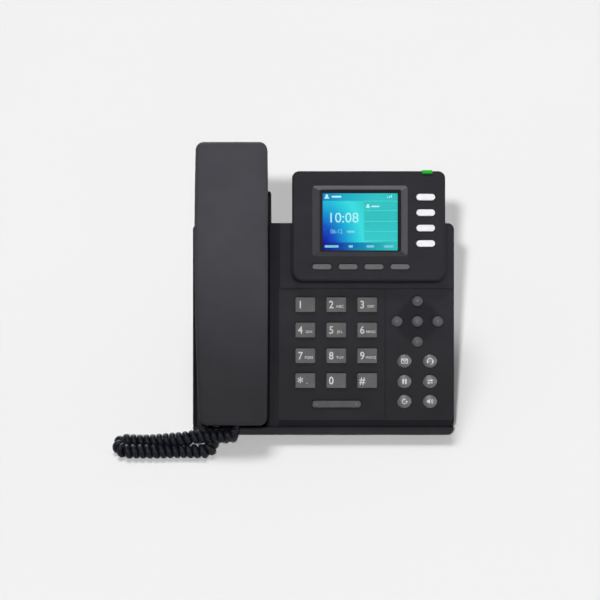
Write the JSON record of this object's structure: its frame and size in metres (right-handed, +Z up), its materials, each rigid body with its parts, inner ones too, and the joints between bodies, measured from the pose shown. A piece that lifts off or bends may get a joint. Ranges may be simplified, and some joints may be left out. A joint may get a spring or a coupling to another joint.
{
  "type": "desk ip telephone",
  "caption": "Desk IP telephone with colour display head, push keys, easel stand and a handset on a curly cord.",
  "frame": {"origin": "desk surface, under the middle of the telephone without its cord", "axes": "+Z up, -Y towards the user, +X to the user's right"},
  "size_m": [0.2567, 0.173, 0.1804],
  "materials": {
    "charcoal_plastic": "fine matte texture",
    "handset_plastic": "fine matte texture with soft sheen",
    "grey_key": "satin",
    "pale_key": "translucent satin",
    "green_lens": "lit translucent",
    "clear_window": "clear, polished",
    "lcd_glass": "lit colour panel",
    "circuit_board": "solder mask",
    "silicone": "matte",
    "black_plastic": "moulded",
    "speaker_steel": "pressed basket with paper cone",
    "clear_plug": "clear moulded",
    "foot_rubber": "matte",
    "screw_steel": "zinc plated",
    "cord_jacket": "soft sheen",
    "ballast_steel": "plain"
  },
  "bodies": {
    "base": {"front_housing": "charcoal_plastic", "rear_housing": "charcoal_plastic", "display_bezel": "charcoal_plastic", "message_light_pipe": "green_lens", "display_lens": "clear_window", "lcd_module": "lcd_glass", "display_board": "circuit_board", "main_board": "circuit_board", "keypad_mat": "silicone", "display_key_mats": "silicone", "hook_switch": "black_plastic", "cradle_tab": "charcoal_plastic", "hands_free_speaker": "speaker_steel", "network_sockets": "black_plastic", "base_handset_port": "black_plastic", "cord_plug_base": "clear_plug", "foot_stand": "charcoal_plastic", "rubber_feet": "foot_rubber", "housing_screws": "screw_steel", "handset_cord": "cord_jacket"},
    "handset": {"handset_outer_shell": "handset_plastic", "handset_inner_shell": "handset_plastic", "handset_receiver": "black_plastic", "handset_microphone": "black_plastic", "handset_port": "black_plastic", "cord_plug_handset": "clear_plug", "handset_ballast": "ballast_steel"},
    "hook": {"hook_plunger": "charcoal_plastic"},
    "volume": {"volume_rocker": "grey_key"},
    "key_1_body": {"key_1": "grey_key"},
    "key_2_body": {"key_2": "grey_key"},
    "key_3_body": {"key_3": "grey_key"},
    "key_4_body": {"key_4": "grey_key"},
    "key_5_body": {"key_5": "grey_key"},
    "key_6_body": {"key_6": "grey_key"},
    "key_7_body": {"key_7": "grey_key"},
    "key_8_body": {"key_8": "grey_key"},
    "key_9_body": {"key_9": "grey_key"},
    "key_star_body": {"key_star": "grey_key"},
    "key_0_body": {"key_0": "grey_key"},
    "key_hash_body": {"key_hash": "grey_key"},
    "nav_up_body": {"nav_up": "grey_key"},
    "nav_left_body": {"nav_left": "grey_key"},
    "nav_ok_body": {"nav_ok": "grey_key"},
    "nav_right_body": {"nav_right": "grey_key"},
    "nav_down_body": {"nav_down": "grey_key"},
    "message_key_body": {"message_key": "grey_key"},
    "headset_key_body": {"headset_key": "grey_key"},
    "hold_key_body": {"hold_key": "grey_key"},
    "transfer_key_body": {"transfer_key": "grey_key"},
    "redial_key_body": {"redial_key": "grey_key"},
    "speaker_key_body": {"speaker_key": "grey_key"},
    "soft_key_1_body": {"soft_key_1": "grey_key"},
    "soft_key_2_body": {"soft_key_2": "grey_key"},
    "soft_key_3_body": {"soft_key_3": "grey_key"},
    "soft_key_4_body": {"soft_key_4": "grey_key"},
    "line_key_1_body": {"line_key_1": "pale_key"},
    "line_key_2_body": {"line_key_2": "pale_key"},
    "line_key_3_body": {"line_key_3": "pale_key"},
    "line_key_4_body": {"line_key_4": "pale_key"}
  },
  "joints": [
    {"name": "handset_lift", "type": "slide", "parent": "base", "child": "handset", "axis": [0, -0.7071, 0.7071], "range_m": [0, 0.06], "deforming": ["handset_cord"]},
    {"name": "hook_rise", "type": "slide", "parent": "base", "child": "hook", "axis": [0, -0.7071, 0.7071], "range_m": [0, 0.0041]},
    {"name": "volume_rock", "type": "hinge", "parent": "base", "child": "volume", "pos_m": [0.01, -0.05804, 0.02788], "axis": [0, 0.7071, 0.7071], "range_deg": [-2.5, 2.5], "stiffness_Nm_per_rad": 0.05},
    {"name": "key_1_press", "type": "slide", "parent": "base", "child": "key_1_body", "axis": [0, 0.7071, -0.7071], "range_m": [0, 0.0012], "stiffness_N_per_m": 220},
    {"name": "key_2_press", "type": "slide", "parent": "base", "child": "key_2_body", "axis": [0, 0.7071, -0.7071], "range_m": [0, 0.0012], "stiffness_N_per_m": 220},
    {"name": "key_3_press", "type": "slide", "parent": "base", "child": "key_3_body", "axis": [0, 0.7071, -0.7071], "range_m": [0, 0.0012], "stiffness_N_per_m": 220},
    {"name": "key_4_press", "type": "slide", "parent": "base", "child": "key_4_body", "axis": [0, 0.7071, -0.7071], "range_m": [0, 0.0012], "stiffness_N_per_m": 220},
    {"name": "key_5_press", "type": "slide", "parent": "base", "child": "key_5_body", "axis": [0, 0.7071, -0.7071], "range_m": [0, 0.0012], "stiffness_N_per_m": 220},
    {"name": "key_6_press", "type": "slide", "parent": "base", "child": "key_6_body", "axis": [0, 0.7071, -0.7071], "range_m": [0, 0.0012], "stiffness_N_per_m": 220},
    {"name": "key_7_press", "type": "slide", "parent": "base", "child": "key_7_body", "axis": [0, 0.7071, -0.7071], "range_m": [0, 0.0012], "stiffness_N_per_m": 220},
    {"name": "key_8_press", "type": "slide", "parent": "base", "child": "key_8_body", "axis": [0, 0.7071, -0.7071], "range_m": [0, 0.0012], "stiffness_N_per_m": 220},
    {"name": "key_9_press", "type": "slide", "parent": "base", "child": "key_9_body", "axis": [0, 0.7071, -0.7071], "range_m": [0, 0.0012], "stiffness_N_per_m": 220},
    {"name": "key_star_press", "type": "slide", "parent": "base", "child": "key_star_body", "axis": [0, 0.7071, -0.7071], "range_m": [0, 0.0012], "stiffness_N_per_m": 220},
    {"name": "key_0_press", "type": "slide", "parent": "base", "child": "key_0_body", "axis": [0, 0.7071, -0.7071], "range_m": [0, 0.0012], "stiffness_N_per_m": 220},
    {"name": "key_hash_press", "type": "slide", "parent": "base", "child": "key_hash_body", "axis": [0, 0.7071, -0.7071], "range_m": [0, 0.0012], "stiffness_N_per_m": 220},
    {"name": "nav_up_press", "type": "slide", "parent": "base", "child": "nav_up_body", "axis": [0, 0.7071, -0.7071], "range_m": [0, 0.0012], "stiffness_N_per_m": 220},
    {"name": "nav_left_press", "type": "slide", "parent": "base", "child": "nav_left_body", "axis": [0, 0.7071, -0.7071], "range_m": [0, 0.0012], "stiffness_N_per_m": 220},
    {"name": "nav_ok_press", "type": "slide", "parent": "base", "child": "nav_ok_body", "axis": [0, 0.7071, -0.7071], "range_m": [0, 0.0012], "stiffness_N_per_m": 220},
    {"name": "nav_right_press", "type": "slide", "parent": "base", "child": "nav_right_body", "axis": [0, 0.7071, -0.7071], "range_m": [0, 0.0012], "stiffness_N_per_m": 220},
    {"name": "nav_down_press", "type": "slide", "parent": "base", "child": "nav_down_body", "axis": [0, 0.7071, -0.7071], "range_m": [0, 0.0012], "stiffness_N_per_m": 220},
    {"name": "message_key_press", "type": "slide", "parent": "base", "child": "message_key_body", "axis": [0, 0.7071, -0.7071], "range_m": [0, 0.0012], "stiffness_N_per_m": 220},
    {"name": "headset_key_press", "type": "slide", "parent": "base", "child": "headset_key_body", "axis": [0, 0.7071, -0.7071], "range_m": [0, 0.0012], "stiffness_N_per_m": 220},
    {"name": "hold_key_press", "type": "slide", "parent": "base", "child": "hold_key_body", "axis": [0, 0.7071, -0.7071], "range_m": [0, 0.0012], "stiffness_N_per_m": 220},
    {"name": "transfer_key_press", "type": "slide", "parent": "base", "child": "transfer_key_body", "axis": [0, 0.7071, -0.7071], "range_m": [0, 0.0012], "stiffness_N_per_m": 220},
    {"name": "redial_key_press", "type": "slide", "parent": "base", "child": "redial_key_body", "axis": [0, 0.7071, -0.7071], "range_m": [0, 0.0012], "stiffness_N_per_m": 220},
    {"name": "speaker_key_press", "type": "slide", "parent": "base", "child": "speaker_key_body", "axis": [0, 0.7071, -0.7071], "range_m": [0, 0.0012], "stiffness_N_per_m": 220},
    {"name": "soft_key_1_press", "type": "slide", "parent": "base", "child": "soft_key_1_body", "axis": [0, 0.7071, -0.7071], "range_m": [0, 0.0009], "stiffness_N_per_m": 220},
    {"name": "soft_key_2_press", "type": "slide", "parent": "base", "child": "soft_key_2_body", "axis": [0, 0.7071, -0.7071], "range_m": [0, 0.0009], "stiffness_N_per_m": 220},
    {"name": "soft_key_3_press", "type": "slide", "parent": "base", "child": "soft_key_3_body", "axis": [0, 0.7071, -0.7071], "range_m": [0, 0.0009], "stiffness_N_per_m": 220},
    {"name": "soft_key_4_press", "type": "slide", "parent": "base", "child": "soft_key_4_body", "axis": [0, 0.7071, -0.7071], "range_m": [0, 0.0009], "stiffness_N_per_m": 220},
    {"name": "line_key_1_press", "type": "slide", "parent": "base", "child": "line_key_1_body", "axis": [0, 0.7071, -0.7071], "range_m": [0, 0.0009], "stiffness_N_per_m": 220},
    {"name": "line_key_2_press", "type": "slide", "parent": "base", "child": "line_key_2_body", "axis": [0, 0.7071, -0.7071], "range_m": [0, 0.0009], "stiffness_N_per_m": 220},
    {"name": "line_key_3_press", "type": "slide", "parent": "base", "child": "line_key_3_body", "axis": [0, 0.7071, -0.7071], "range_m": [0, 0.0009], "stiffness_N_per_m": 220},
    {"name": "line_key_4_press", "type": "slide", "parent": "base", "child": "line_key_4_body", "axis": [0, 0.7071, -0.7071], "range_m": [0, 0.0009], "stiffness_N_per_m": 220}
  ],
  "couplings": [
    {"joint": "hook_rise", "follows": "handset_lift", "ratio": 0.066667}
  ]
}
